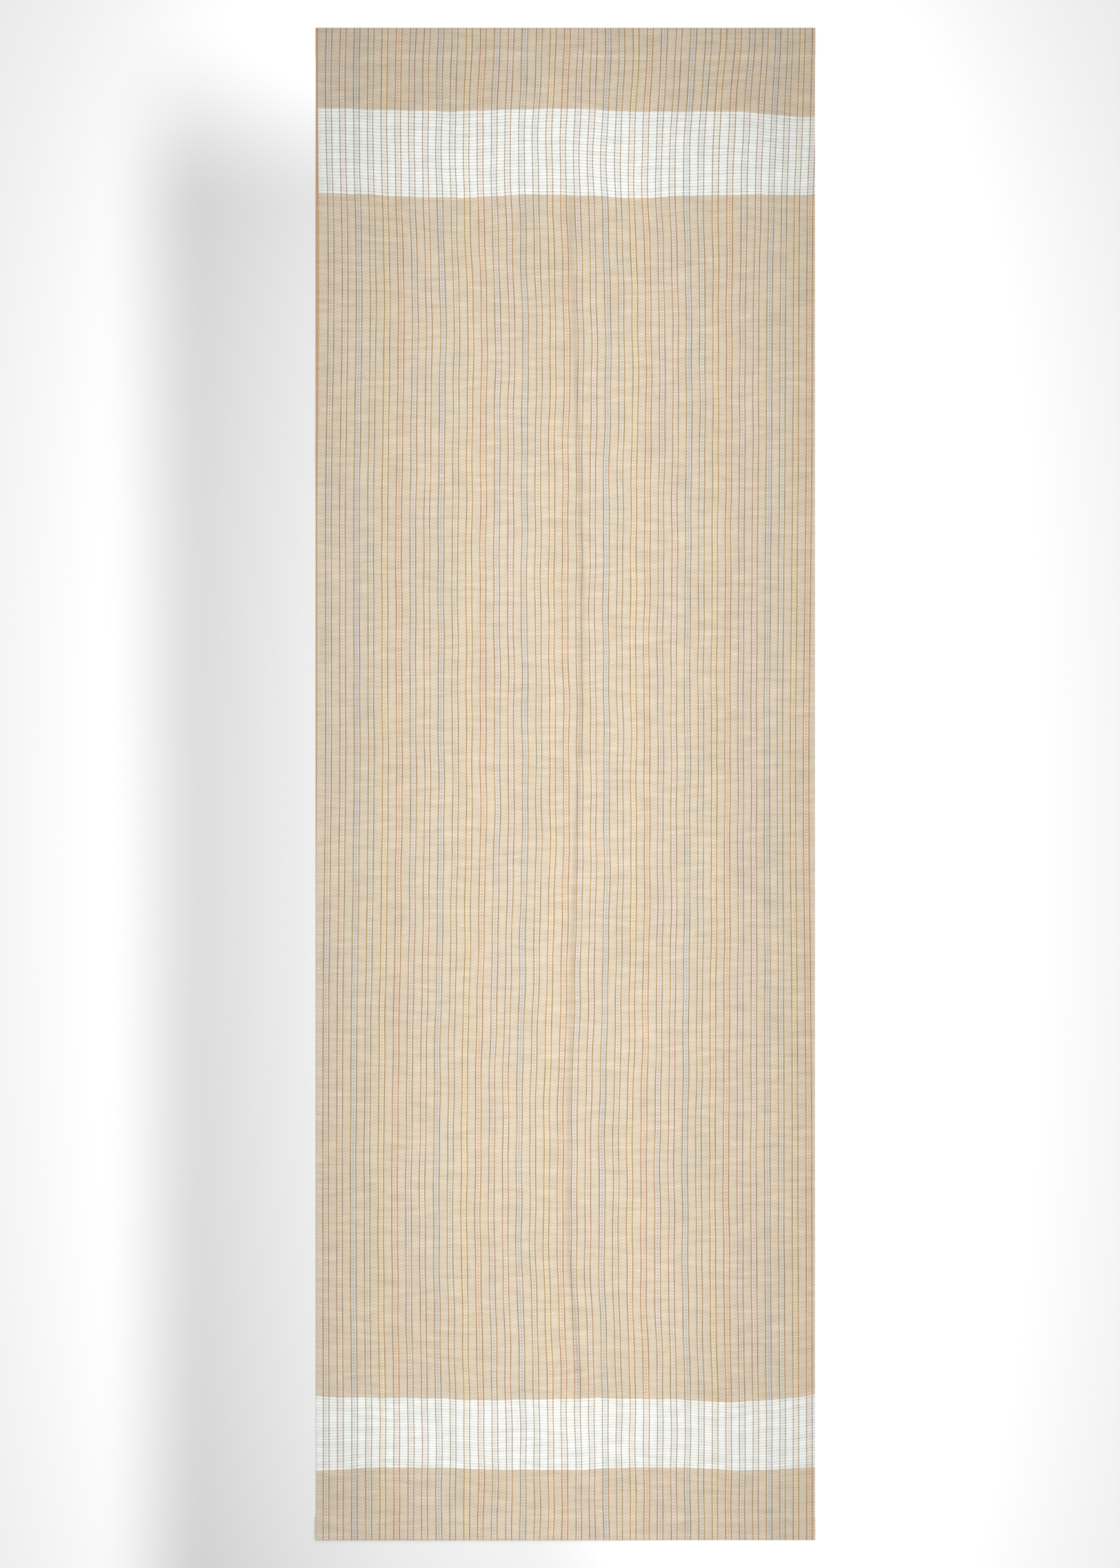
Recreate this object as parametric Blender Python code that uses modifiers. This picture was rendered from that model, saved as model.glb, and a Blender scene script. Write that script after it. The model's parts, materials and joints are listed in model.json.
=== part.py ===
"""Table runner: one woven cotton length with two turned hems, built as four folding quarters.

Metres, +Z up. The cloth lies flat with its underside at z = 0 and its length along Y.
Its head end is +Y, its foot end is -Y, and its left edge is -X.
"""

from math import pi

import bmesh
import bpy
from mathutils import Matrix, Vector

# Finished size of the runner
LENGTH = 1.500
WIDTH = 0.495
CLOTH_THICKNESS = 0.0010

# Woven edges along both sides
SELVEDGE_WIDTH = 0.0030
SELVEDGE_ROUNDING = 0.0003

# Double-turned hems at both ends: three layers of cloth, pressed flatter by the iron
HEAD_HEM_DEPTH = 0.025
FOOT_HEM_DEPTH = 0.019
HEM_LAYERS = 3
HEM_PRESSED = 0.87
HEM_ROUNDING = 0.0008

# Weave zones, measured from the finished end: plain cloth, then a band of white weft
HEAD_END_DEPTH = 0.081
HEAD_BAND_WIDTH = 0.085
FOOT_END_DEPTH = 0.071
FOOT_BAND_WIDTH = 0.069

# Lockstitch along the inner edge of each hem
THREAD_DIAMETER = 0.0004
THREAD_RECESS = 0.0001
STITCH_INSET = 0.0025
STITCH_END_MARGIN = 0.0030
GROOVE_SIDES = 16

# Folding for storage: both ends fold to the middle, then the runner folds in half
FOLD_MEET_GAP = 0.006
FOLD_CLEARANCE = 0.0006

# Clearance between neighbouring solids
GAP = 0.0003

HEM_THICKNESS = HEM_LAYERS * HEM_PRESSED * CLOTH_THICKNESS
HALF_LENGTH = LENGTH / 2
HALF_WIDTH = WIDTH / 2
END_FOLD_Y = (LENGTH + FOLD_MEET_GAP) / 4
END_FOLD_Z = (CLOTH_THICKNESS + HEM_THICKNESS + FOLD_CLEARANCE) / 2
MIDDLE_FOLD_Z = 2 * END_FOLD_Z + FOLD_CLEARANCE / 2
THREAD_RADIUS = THREAD_DIAMETER / 2
GROOVE_RADIUS = THREAD_RADIUS + GAP


def linear(channel):
    """One display colour channel, 0 to 255, as a linear value."""
    share = channel / 255
    return share / 12.92 if share <= 0.04045 else ((share + 0.055) / 1.055) ** 2.4


def material(name, colour, roughness):
    """A plain woven finish: a Principled shader with one colour."""
    finish = bpy.data.materials.new(name)
    finish.use_nodes = True
    shader = finish.node_tree.nodes["Principled BSDF"]
    rgba = [linear(channel) for channel in colour] + [1.0]
    shader.inputs["Base Color"].default_value = rgba
    shader.inputs["Roughness"].default_value = roughness
    shader.inputs["Metallic"].default_value = 0.0
    finish.diffuse_color = rgba
    return finish


def place(thing, collection, parent, centre):
    """Link an object, hang it on its fold's empty and put its centre at a world position."""
    collection.objects.link(thing)
    thing.parent = parent
    thing.location = Vector(centre) - world_position(parent)


def world_position(empty):
    """World position of an unturned empty, through the empties that carry it."""
    position = Vector((0, 0, 0))
    while empty is not None:
        position += empty.location
        empty = empty.parent
    return position


def fold_empty(name, collection, parent, position):
    """An empty on a fold's axis, which carries everything that turns about it."""
    empty = bpy.data.objects.new(name, None)
    empty.empty_display_type = "ARROWS"
    empty.empty_display_size = 0.05
    place(empty, collection, parent, position)
    return empty


def box_mesh(name, size):
    """A box of the given size, centred on its own origin."""
    mesh = bpy.data.meshes.new(name)
    shape = bmesh.new()
    bmesh.ops.create_cube(shape, size=1.0, matrix=Matrix.Diagonal((*size, 1.0)))
    shape.to_mesh(mesh)
    shape.free()
    return mesh


def panel(name, collection, parent, x_span, y_span, height, finish):
    """A flat piece of cloth between two x and two y positions, standing on z = 0."""
    (left, right), (near, far) = sorted(x_span), sorted(y_span)
    mesh = box_mesh(name, (right - left, far - near, height))
    mesh.materials.append(finish)
    piece = bpy.data.objects.new(name, mesh)
    place(piece, collection, parent, ((left + right) / 2, (near + far) / 2, height / 2))
    return piece


def round_edges(piece, width):
    """Soften every edge of a box."""
    bevel = piece.modifiers.new("Rounding", "BEVEL")
    bevel.width = width
    bevel.segments = 3
    bevel.limit_method = "ANGLE"
    piece.data.shade_smooth()


def groove_cutter(name, collection, parent, centre, length):
    """A round bar along X that presses a stitch groove into a hem."""
    mesh = bpy.data.meshes.new(name)
    shape = bmesh.new()
    bmesh.ops.create_cone(
        shape,
        cap_ends=True,
        segments=GROOVE_SIDES,
        radius1=GROOVE_RADIUS,
        radius2=GROOVE_RADIUS,
        depth=length,
        matrix=Matrix.Rotation(pi / 2, 4, "Y"),
    )
    shape.to_mesh(mesh)
    shape.free()
    cutter = bpy.data.objects.new(name, mesh)
    cutter.hide_render = True
    cutter.display_type = "WIRE"
    place(cutter, collection, parent, centre)
    return cutter


def cut(piece, cutter):
    """Take the cutter's shape out of a piece."""
    boolean = piece.modifiers.new(cutter.name, "BOOLEAN")
    boolean.operation = "DIFFERENCE"
    boolean.solver = "EXACT"
    boolean.object = cutter


def thread_line(name, collection, parent, centre, length, finish):
    """A sewing thread along X: a straight tube with closed ends."""
    line = bpy.data.curves.new(name, "CURVE")
    line.dimensions = "3D"
    line.bevel_depth = THREAD_RADIUS
    line.bevel_resolution = 2
    line.use_fill_caps = True
    spline = line.splines.new("POLY")
    spline.points.add(1)
    for point, x in zip(spline.points, (-length / 2, length / 2), strict=True):
        point.co = (x, 0, 0, 1)
    line.materials.append(finish)
    thread = bpy.data.objects.new(name, line)
    place(thread, collection, parent, centre)
    return thread


def hem_with_stitches(end, side, hem_depth, parts, cutters, parent, finishes):
    """A turned hem across the cloth, with a needle thread above and a bobbin thread below."""
    inner = HALF_LENGTH - hem_depth + GAP / 2
    y_span = (side * inner, side * HALF_LENGTH)
    hem = panel(f"{end}_hem", parts, parent, (-HALF_WIDTH, HALF_WIDTH), y_span, HEM_THICKNESS, finishes["cloth"])
    round_edges(hem, HEM_ROUNDING)
    stitch_y = side * (inner + STITCH_INSET)
    thread_length = WIDTH - 2 * STITCH_END_MARGIN
    depth_below_face = THREAD_RADIUS + THREAD_RECESS
    heights = {"needle": HEM_THICKNESS - depth_below_face, "bobbin": depth_below_face}
    for thread, height in heights.items():
        centre = (0, stitch_y, height)
        groove_length = thread_length + 2 * GAP
        cutter = groove_cutter(f"{end}_{thread}_groove", cutters, parent, centre, groove_length)
        cut(hem, cutter)
        name = f"{end}_hem_{thread}_thread"
        thread_line(name, parts, parent, centre, thread_length, finishes["thread"])


def selvedges(quarter, parts, parent, y_span, finishes):
    """The woven edge on each side: tan yarns on the left, plain on the right."""
    for edge, sign, finish in (("left", -1, "tan"), ("right", 1, "cloth")):
        x_span = (sign * HALF_WIDTH, sign * (HALF_WIDTH - SELVEDGE_WIDTH))
        name = f"{quarter}_{edge}_selvedge"
        strip = panel(name, parts, parent, x_span, y_span, CLOTH_THICKNESS, finishes[finish])
        round_edges(strip, SELVEDGE_ROUNDING)


def middle_quarter(end, side, parts, parent, finishes):
    """The quarter between the runner's middle and an end fold."""
    y_span = (side * GAP / 2, side * (END_FOLD_Y - GAP / 2))
    inside = HALF_WIDTH - SELVEDGE_WIDTH - GAP
    name = f"{end}_middle_cloth"
    panel(name, parts, parent, (-inside, inside), y_span, CLOTH_THICKNESS, finishes["cloth"])
    selvedges(f"{end}_middle", parts, parent, y_span, finishes)


def end_quarter(end, side, zones, parts, cutters, parent, finishes):
    """The quarter from an end fold to the hem, with its band of white weft."""
    hem_depth, end_depth, band_width = zones
    band_outer = HALF_LENGTH - end_depth
    band_inner = band_outer - band_width
    hem_inner = HALF_LENGTH - hem_depth
    inside = HALF_WIDTH - SELVEDGE_WIDTH - GAP
    strips = (
        (f"{end}_quarter_cloth", END_FOLD_Y, band_inner, "cloth"),
        (f"{end}_white_band", band_inner, band_outer, "white"),
        (f"{end}_end_cloth", band_outer, hem_inner, "cloth"),
    )
    for name, start, stop, finish in strips:
        y_span = (side * (start + GAP / 2), side * (stop - GAP / 2))
        panel(name, parts, parent, (-inside, inside), y_span, CLOTH_THICKNESS, finishes[finish])
    y_span = (side * (END_FOLD_Y + GAP / 2), side * (hem_inner - GAP / 2))
    selvedges(f"{end}_quarter", parts, parent, y_span, finishes)
    hem_with_stitches(end, side, hem_depth, parts, cutters, parent, finishes)


def build():
    """Clear the scene and make the whole runner."""
    for old in list(bpy.data.objects):
        bpy.data.objects.remove(old, do_unlink=True)

    parts = bpy.data.collections.new("table_runner")
    cutters = bpy.data.collections.new("cutters")
    bpy.context.scene.collection.children.link(parts)
    bpy.context.scene.collection.children.link(cutters)

    finishes = {
        "cloth": material("oatmeal_cloth", (216, 201, 180), 0.9),
        "white": material("white_weft", (228, 227, 220), 0.85),
        "tan": material("tan_selvedge", (176, 148, 114), 0.9),
        "thread": material("hem_thread", (222, 209, 190), 0.8),
    }

    middle_fold = fold_empty("middle_fold_axis", parts, None, (0, 0, MIDDLE_FOLD_Z))
    head_fold = fold_empty("head_fold_axis", parts, None, (0, END_FOLD_Y, END_FOLD_Z))
    foot_fold = fold_empty("foot_fold_axis", parts, middle_fold, (0, -END_FOLD_Y, END_FOLD_Z))

    head_zones = (HEAD_HEM_DEPTH, HEAD_END_DEPTH, HEAD_BAND_WIDTH)
    foot_zones = (FOOT_HEM_DEPTH, FOOT_END_DEPTH, FOOT_BAND_WIDTH)
    end_quarter("head", 1, head_zones, parts, cutters, head_fold, finishes)
    middle_quarter("head", 1, parts, None, finishes)
    middle_quarter("foot", -1, parts, middle_fold, finishes)
    end_quarter("foot", -1, foot_zones, parts, cutters, foot_fold, finishes)


build()
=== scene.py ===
"""Striped table runner: its woven cloth, white bands, selvedges, turned hems and stitches.

Metres, +Z up. The runner lies with its face up, its length along Y and its head end at +Y.
Places on the cloth are given by u, how far a warp end is from the left selvedge, and v, how far
a weft pick is from the middle. Both are kept in the UV map "weave", so that every pattern
follows the yarns wherever the cloth goes.
"""

import json
from math import pi

import bpy
import numpy as np
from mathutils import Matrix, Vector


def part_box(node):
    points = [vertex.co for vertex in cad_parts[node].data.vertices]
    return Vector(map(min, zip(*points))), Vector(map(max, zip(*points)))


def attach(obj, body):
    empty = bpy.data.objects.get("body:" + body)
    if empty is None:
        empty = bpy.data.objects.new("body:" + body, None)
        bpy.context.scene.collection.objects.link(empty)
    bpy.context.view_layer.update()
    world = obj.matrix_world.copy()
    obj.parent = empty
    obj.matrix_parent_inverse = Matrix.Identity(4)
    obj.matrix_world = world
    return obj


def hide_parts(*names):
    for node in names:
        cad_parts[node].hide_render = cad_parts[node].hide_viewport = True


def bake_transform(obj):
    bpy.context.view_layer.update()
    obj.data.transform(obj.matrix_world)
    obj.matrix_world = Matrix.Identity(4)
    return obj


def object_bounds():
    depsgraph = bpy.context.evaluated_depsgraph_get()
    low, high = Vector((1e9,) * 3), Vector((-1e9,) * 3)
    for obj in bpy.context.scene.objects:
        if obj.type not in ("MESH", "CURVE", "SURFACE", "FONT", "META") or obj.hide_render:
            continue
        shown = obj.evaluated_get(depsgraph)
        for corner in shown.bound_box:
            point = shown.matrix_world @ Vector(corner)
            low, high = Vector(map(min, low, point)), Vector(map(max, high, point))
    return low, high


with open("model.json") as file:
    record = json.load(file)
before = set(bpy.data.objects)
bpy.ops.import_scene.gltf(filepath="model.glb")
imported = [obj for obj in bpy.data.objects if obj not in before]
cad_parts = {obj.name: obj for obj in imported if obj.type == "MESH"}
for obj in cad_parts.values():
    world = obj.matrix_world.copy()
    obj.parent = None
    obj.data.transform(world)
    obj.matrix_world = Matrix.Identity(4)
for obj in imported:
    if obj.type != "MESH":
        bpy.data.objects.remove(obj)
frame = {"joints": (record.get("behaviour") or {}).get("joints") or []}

bl_info = {
    "name": "Striped Table Runner",
    "version": (1, 0, 0),
    "blender": (4, 5, 0),
    "location": "3D View > Sidebar > Table Runner",
    "description": "Weaves a striped table runner with white bands and turned hems on its frame",
    "category": "Add Mesh",
}

MM = 0.001


def meeting(near, far):
    """How far from the runner's middle two neighbouring CAD pieces meet."""
    near_ends = [abs(corner.y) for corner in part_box(near)]
    far_ends = [abs(corner.y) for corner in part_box(far)]
    return (max(near_ends) + min(far_ends)) / 2


# The frame: the runner's box, its thicknesses, folds and weave zones
CAD_LOW, CAD_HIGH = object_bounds()
LEFT = CAD_LOW.x
RIGHT = CAD_HIGH.x
WIDTH = RIGHT - LEFT
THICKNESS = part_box("head_middle_cloth")[1].z
FOLD = {joint["name"]: joint["pos_m"][1] for joint in frame["joints"]}
SIDE = {"head": 1, "foot": -1}
BAND_INNER = {end: meeting(f"{end}_quarter_cloth", f"{end}_white_band") for end in SIDE}
BAND_OUTER = {end: meeting(f"{end}_white_band", f"{end}_end_cloth") for end in SIDE}
HEM_START = {end: meeting(f"{end}_end_cloth", f"{end}_hem") for end in SIDE}
TIP = CAD_HIGH.y
# Seams between the three long cloth pieces, halfway from the middle fold to each end fold
JOIN = FOLD["head_fold"] / 2

# The cloth between the two selvedge strips
STRIP_LEFT = 5.5 * MM
STRIP_RIGHT = WIDTH - 9.5 * MM
TAN_WIDTH = 2.5 * MM
PAIRS = 36
TINTS = 6

# Relief of the face: fleck yarns stand up beside each strip's core, and the tan lines sink
FLECK_PLACE = 1.35 * MM
FLECK_RISE = 0.12 * MM
LINE_SINK = 0.10 * MM
YARN_SPREAD = 0.5 * MM
RIB_ROUNDNESS = 0.7

# Yarn patterns: slanted flecks beside each core, and how often each kind of yarn is twisted
FLECK_COLUMN = 1.36 * MM
FLECK_SLANT = 1.12
RIB_TWIST = 2.72 * MM
PLY_TWIST = 0.62 * MM
TAN_TWIST = 2.2 * MM

# The edges: how deep they are rounded, and how far the cloth thins towards them
EDGE_ROUNDING = 0.5 * MM
EDGE_THICKNESS = 0.3
EDGE_THINNING = 0.13

# The left selvedge turns under, between these places along the runner, with this half turn
TUCK_SPAN = (0.46, 0.37)
ROLL_SPAN = (0.38, 0.26)
TUCK_REACH = 12 * MM
TUCK_RADIUS = 0.25 * MM
TUCK_RISE = 0.5 * MM

# Layers of the turned hem, from the table up, and the turns between them
HEM_PLY = 0.8 * MM
HEM_UNDER = 0.42 * MM
HEM_MIDDLE = 1.28 * MM
HEM_FACE = 2.14 * MM
BIG_TURN = (HEM_FACE - HEM_UNDER) / 2
SMALL_TURN = (HEM_MIDDLE - HEM_UNDER) / 2
RAMP_LENGTH = 7 * MM
BORDER_EASE = 1.2 * MM

# Hem stitches
STITCH_FROM_HEM = 2.5 * MM
STITCH_MARGIN = 3 * MM
STITCH_PINCH = 0.14 * MM
STITCH_DIVE = 0.5 * MM
THREAD_SIDES = 6

# Lengths of cloth about a fold where the rows lie close together
END_BEND = 2.6 * MM
MIDDLE_BEND = 9 * MM

# Longest steps between rows: where the cloth lies flat, near a hem, and on the climb onto it
FLAT_STEP = 5 * MM
END_STEP = 4 * MM
CLIMB_STEP = 0.6 * MM
CLOSEST = 0.02 * MM

# Places on a baking map: its two sides, then the bottom and height of the face and underside,
# and of each wall, which also have a step from one to the next
BAKE_SIDES = (0.005, 0.995)
BAKE_FACE = (0.345, 0.65)
BAKE_UNDER = (0.035, 0.295)
BAKE_WALL = (0.002, 0.005)
BAKE_WALL_STEP = 0.007

# The stage
FULL_WHITE = (1.0, 1.0, 1.0)
FLOOR_REACH = 4.0
FLOOR_DROP = 0.1 * MM
SOFTBOX_PLACE = (0.0, -0.075, 0.42)
SOFTBOX_SIZE = (0.55, 1.86)
SOFTBOX_WATTS = 5.5
SKY_STRENGTH = 0.3
CAMERA_LENS = 100
CAMERA_SENSOR = 36
CAMERA_X = -5.4 * MM
VIEW_HEIGHT = 1.5554


# ---------------------------------------------------------------- sizes and colours

def linear(channel):
    """One display colour channel, 0 to 255, as a linear value."""
    share = channel / 255
    return share / 12.92 if share <= 0.04045 else ((share + 0.055) / 1.055) ** 2.4


def length_property(name, description, default):
    """A length in metres that a user may change."""
    return bpy.props.FloatProperty(
        name=name, description=description, default=default, min=0.0, precision=5, unit="LENGTH"
    )


def colour_property(name, description, red, green, blue):
    """A colour, given in display channels from 0 to 255."""
    return bpy.props.FloatVectorProperty(
        name=name,
        description=description,
        default=(linear(red), linear(green), linear(blue)),
        min=0.0,
        max=1.0,
        subtype="COLOR",
    )


class RunnerSizes(bpy.types.PropertyGroup):
    """Sizes of the weave and the stitches, and how loosely the cloth lies."""

    first_pair: length_property("First Pair", "Left edge to the first pair of lines", 0.0133)
    pair_pitch: length_property("Pair Pitch", "From one pair of lines to the next", 0.0136)
    line_spacing: length_property("Line Spacing", "Between the two lines of a pair", 0.0055)
    line_width: length_property("Line Width", "Width of one tan line", 0.00098)
    fleck_pitch: length_property("Fleck Pitch", "From one fleck to the next along a strip", 0.00305)
    warp_spacing: length_property("Warp Spacing", "From one warp yarn to the next", 0.00068)
    weft_spacing: length_property("Weft Spacing", "From one weft yarn to the next", 0.0007625)
    head_ribs: bpy.props.IntProperty(
        name="Head Ribs", description="White ribs in the head band", default=27, min=1
    )
    foot_ribs: bpy.props.IntProperty(
        name="Foot Ribs", description="White ribs in the foot band", default=26, min=1
    )
    rib_height: length_property("Rib Height", "How far a white rib stands up", 0.00028)
    ripple: length_property("Ripple", "Height of the slow waves in the cloth", 0.0003)
    crease: length_property("Crease", "Height of the old lengthwise crease", 0.0004)
    stitch: length_property("Stitch", "Length of one hem stitch", 0.003)
    thread: length_property("Thread", "Diameter of the hem thread", 0.0004)


class RunnerColours(bpy.types.PropertyGroup):
    """Colours of the yarns."""

    weft: colour_property("Weft", "Creamy weft of the twill ground", 233, 220, 201)
    warp: colour_property("Warp", "Oatmeal warp of the twill ground", 206, 190, 165)
    line: colour_property("Line", "Tan lines in pairs", 158, 124, 74)
    gold: colour_property("Gold", "Golden places along the tan lines", 186, 144, 80)
    selvedge: colour_property("Selvedge", "Tan yarns of the left selvedge", 214, 176, 142)
    fleck: colour_property("Fleck", "Light flecks in the strips", 250, 244, 233)
    tint_1: colour_property("First Strip", "Lilac grey core of a strip", 203, 193, 188)
    tint_2: colour_property("Second Strip", "Dusty pink core of a strip", 216, 196, 186)
    tint_3: colour_property("Third Strip", "Blue grey core of a strip", 184, 190, 192)
    tint_4: colour_property("Fourth Strip", "Sage core of a strip", 201, 199, 181)
    tint_5: colour_property("Fifth Strip", "Straw core of a strip", 222, 202, 158)
    tint_6: colour_property("Sixth Strip", "Salmon core of a strip", 222, 186, 160)
    white: colour_property("White", "White weft of the bands", 246, 247, 243)
    # Gap is the warp seen between the white ribs, with painted shade of the grooves between them
    gap: colour_property("Gap", "Between the white ribs", 196, 199, 192)
    dot: colour_property("Dot", "Tan lines seen between the ribs", 134, 113, 80)
    thread: colour_property("Thread", "Hem thread", 214, 202, 181)
    floor: colour_property("Floor", "Pale studio floor", 246, 246, 246)


# ---------------------------------------------------------------- how the cloth lies

def ease(value, low, high):
    """0 at low and 1 at high, along a smooth S between them. High may be below low."""
    share = np.clip((value - low) / (high - low), 0, 1)
    return share * share * (3 - 2 * share)


def bell(value, centre, spread):
    """A smooth bump: 1 at its centre, and about a third of that one spread away."""
    return np.exp(-(((value - centre) / spread) ** 2))


# Small wavers of the yarns: turns across the cloth, wavelength along it in metres, phase, and
# size in millimetres
WARP_WAVERS = (
    (1.4, 0.160, 0.0, 0.30),
    (2.3, 0.700, 1.1, 0.35),
    (3.7, 0.074, 2.0, 0.26),
    (-6.3, 0.110, 4.2, 0.22),
    (15.0, -0.300, 0.7, 0.16),
)
WEFT_WAVERS = (
    (-3.3, 0.4, 2.2, 0.35),
    (6.2, 0.3, 5.0, 0.28),
    (13.0, 0.06, 1.0, 0.20),
)

# How warp ends stray to the right, in millimetres. A step has its size, and where along the
# runner it starts and is full. A bump has its size, place and spread.
LEFT_REST = 1.5
LEFT_STEPS = ((-2.8, 0.50, 0.26), (-2.4, 0.08, -0.25), (-2.9, 0.54, 0.70), (1.0, 0.71, 0.75))
RIGHT_STEPS = ((3.4, 0.56, 0.68),)
RIGHT_BUMPS = ((-3.6, 0.0, 0.23),)
MIDDLE_SWELL = 4.2
SWELL_AT_HEAD = (0.62, 0.42)
SWELL_AT_FOOT = (-0.40, -0.12)
MIDDLE_STEPS = ((3.8, -0.45, -0.65), (2.6, 0.62, 0.74))
MIDDLE_BUMPS = ((2.2, -0.02, 0.14), (-0.8, 0.63, 0.05))
# Steps that also have a place and a spread across the cloth
CROWDS = ((3.4, 0.46, 0.58, 0.87, 0.09), (4.5, 0.66, 0.75, 0.82, 0.16))

# The old crease: its place across the cloth in millimetres, its spread, and where it fades
CREASE_REST = 2
CREASE_STEPS = ((12, -0.42, -0.62),)
CREASE_BUMPS = ((14, 0.17, 0.33),)
CREASE_SPREAD = 2.4 * MM
CREASE_ENDS = (0.64, 0.58)

# Slow waves of the cloth: wavelengths across and along it in metres, phase, and share
RIPPLES = (
    (0.90, 0.31, 0.3, 0.30),
    (0.45, -0.22, 1.7, 0.22),
    (0.21, 0.52, 4.0, 0.17),
    (-0.13, 0.30, 2.2, 0.12),
    (0.075, 0.11, 0.9, 0.06),
    (-0.09, 0.062, 5.1, 0.07),
    (0.30, -0.048, 3.3, 0.06),
)
# The waves fade beside the edges and towards the hems, and are pressed flat in the middle
RIPPLE_EDGE = 30 * MM
RIPPLE_FULL = 0.60
RIPPLE_FROM_HEM = 10 * MM
PRESSED = 0.8
PRESSED_SPAN = (0.10, 0.045)

# Where the weft begins to bow towards a band
BOW_START = FOLD["head_fold"] + 60 * MM


def drift(value, steps=(), bumps=()):
    """The sum of several steps, each eased in from its start to where it is full, and bumps."""
    stepped = sum(size * ease(value, start, full) for size, start, full in steps)
    return stepped + sum(size * bell(value, place, spread) for size, place, spread in bumps)


def wavering(across, v, wavers):
    """The sum of several slanted sine waves over the cloth."""
    return sum(
        size * np.sin(2 * pi * (across * turns + v / wave) + phase)
        for turns, wave, phase, size in wavers
    )


def lean(u, v):
    """How far warp end u strays to the right at v.

    The left edge slips out as the selvedge rolls under, the right edge is pulled in at mid-length
    and pushed out at the head, and the ends between them swell to the right. At the head they
    also crowd towards the right edge.
    """
    across = u / WIDTH
    left = LEFT_REST + drift(v, LEFT_STEPS)
    right = drift(v, RIGHT_STEPS, RIGHT_BUMPS)
    middle = MIDDLE_SWELL * ease(v, *SWELL_AT_HEAD) * ease(v, *SWELL_AT_FOOT)
    middle = middle + drift(v, MIDDLE_STEPS, MIDDLE_BUMPS) + wavering(across, v, WARP_WAVERS)
    crowd = sum(
        size * ease(v, start, full) * bell(across, place, spread)
        for size, start, full, place, spread in CROWDS
    )
    swell = 4 * across * (1 - across)
    return MM * (left * (1 - across) + right * across + crowd + middle * swell)


def swing(across, turns, start):
    """A wave across the cloth: how many turns it makes, and how far into a turn it starts."""
    return np.cos(2 * pi * (turns * across - start))


def band_strays(across):
    """How far the two edges of each band stray towards the head, in millimetres, across the cloth.

    They swing up and down a few times, the head band's outer edge droops at the right, and the
    others curl up beside the selvedges.
    """
    curl = np.abs(2 * across - 1) ** 8
    head_swing = swing(across, 2.5, 1.125)
    head_inner = 1.4 * head_swing - 0.9 + 3.0 * curl
    head_outer = 1.5 * head_swing - 0.2 - 6.0 * ease(across, 0.66, 0.95)
    foot_inner = 0.9 * swing(across, 2.2, 0.35) + 4.6 * curl - 2.4 * bell(across, 0.82, 0.09)
    foot_outer = 1.4 * swing(across, 2.2, 0.45) - 0.5 + 2.0 * curl * across
    return {"head": (head_inner, head_outer), "foot": (foot_inner, foot_outer)}


def bow(u, v):
    """How far weft pick v strays towards the head at u, fading to nothing at hems and folds."""
    across = u / WIDTH
    waver = wavering(across, v, WEFT_WAVERS)
    strays = band_strays(across)
    stray = np.zeros_like(waver)
    for end, side in SIDE.items():
        inner, outer = BAND_INNER[end], BAND_OUTER[end]
        inner_stray, outer_stray = strays[end]
        through = np.clip((side * v - inner) / (outer - inner), 0, 1)
        window = ease(side * v, BOW_START, inner) * (1 - ease(side * v, outer, HEM_START[end]))
        stray = stray + window * ((1 - through) * inner_stray + through * outer_stray + waver)
    return MM * stray


def tuck(v):
    """How far the left edge is raised for its selvedge to roll under: 0 at the head, then 1."""
    return ease(v, *TUCK_SPAN)


def rolled(v):
    """How far the left selvedge is rolled under: 0 at the head, then 1."""
    return ease(v, *ROLL_SPAN)


def squeeze(room, v):
    """How much narrower the left strip is drawn where it lies flat in the room that it has."""
    return 1 + (room / STRIP_LEFT - 1) * (1 - rolled(v))


def crease_share(x, y):
    """1 on the old lengthwise crease, which wanders down the middle, and 0 away from it."""
    path = CREASE_REST + drift(y, CREASE_STEPS, CREASE_BUMPS)
    return bell(x, path * MM, CREASE_SPREAD) * ease(np.abs(y), *CREASE_ENDS)


def from_edge(x):
    """How far a place is from the nearer long edge."""
    return np.minimum(x - LEFT, RIGHT - x)


def lift(x, y, sizes):
    """Height of the cloth's underside above the table.

    Slow waves in several directions, plus the ridge of an old crease down the middle. They fade
    at the edges and the hems, and shrink near the middle, where folded hems come to lie.
    """
    ripple = sum(
        share * (1 + np.sin(2 * pi * (x / wave_x + y / wave_y) + phase))
        for wave_x, wave_y, phase, share in RIPPLES
    )
    inside = ease(from_edge(x), 0, RIPPLE_EDGE)
    at_head = ease(y, HEM_START["head"] - RIPPLE_FROM_HEM, RIPPLE_FULL)
    at_foot = ease(-y, HEM_START["foot"] - RIPPLE_FROM_HEM, RIPPLE_FULL)
    fade = np.where(y > 0, at_head, at_foot) * (1 - PRESSED * ease(np.abs(y), *PRESSED_SPAN))
    return (sizes.ripple * ripple * inside + sizes.crease * crease_share(x, y)) * fade


def line_relief(u, sizes):
    """Tan lines sink into the face and the fleck yarns beside each strip's core stand up."""
    half_pitch = sizes.pair_pitch / 2
    from_pair = np.mod(u - sizes.first_pair + half_pitch, sizes.pair_pitch) - half_pitch
    from_centre = np.abs(from_pair)
    rise = FLECK_RISE * bell(from_centre, FLECK_PLACE, YARN_SPREAD)
    return rise - LINE_SINK * bell(from_centre, sizes.line_spacing / 2, YARN_SPREAD)


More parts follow.
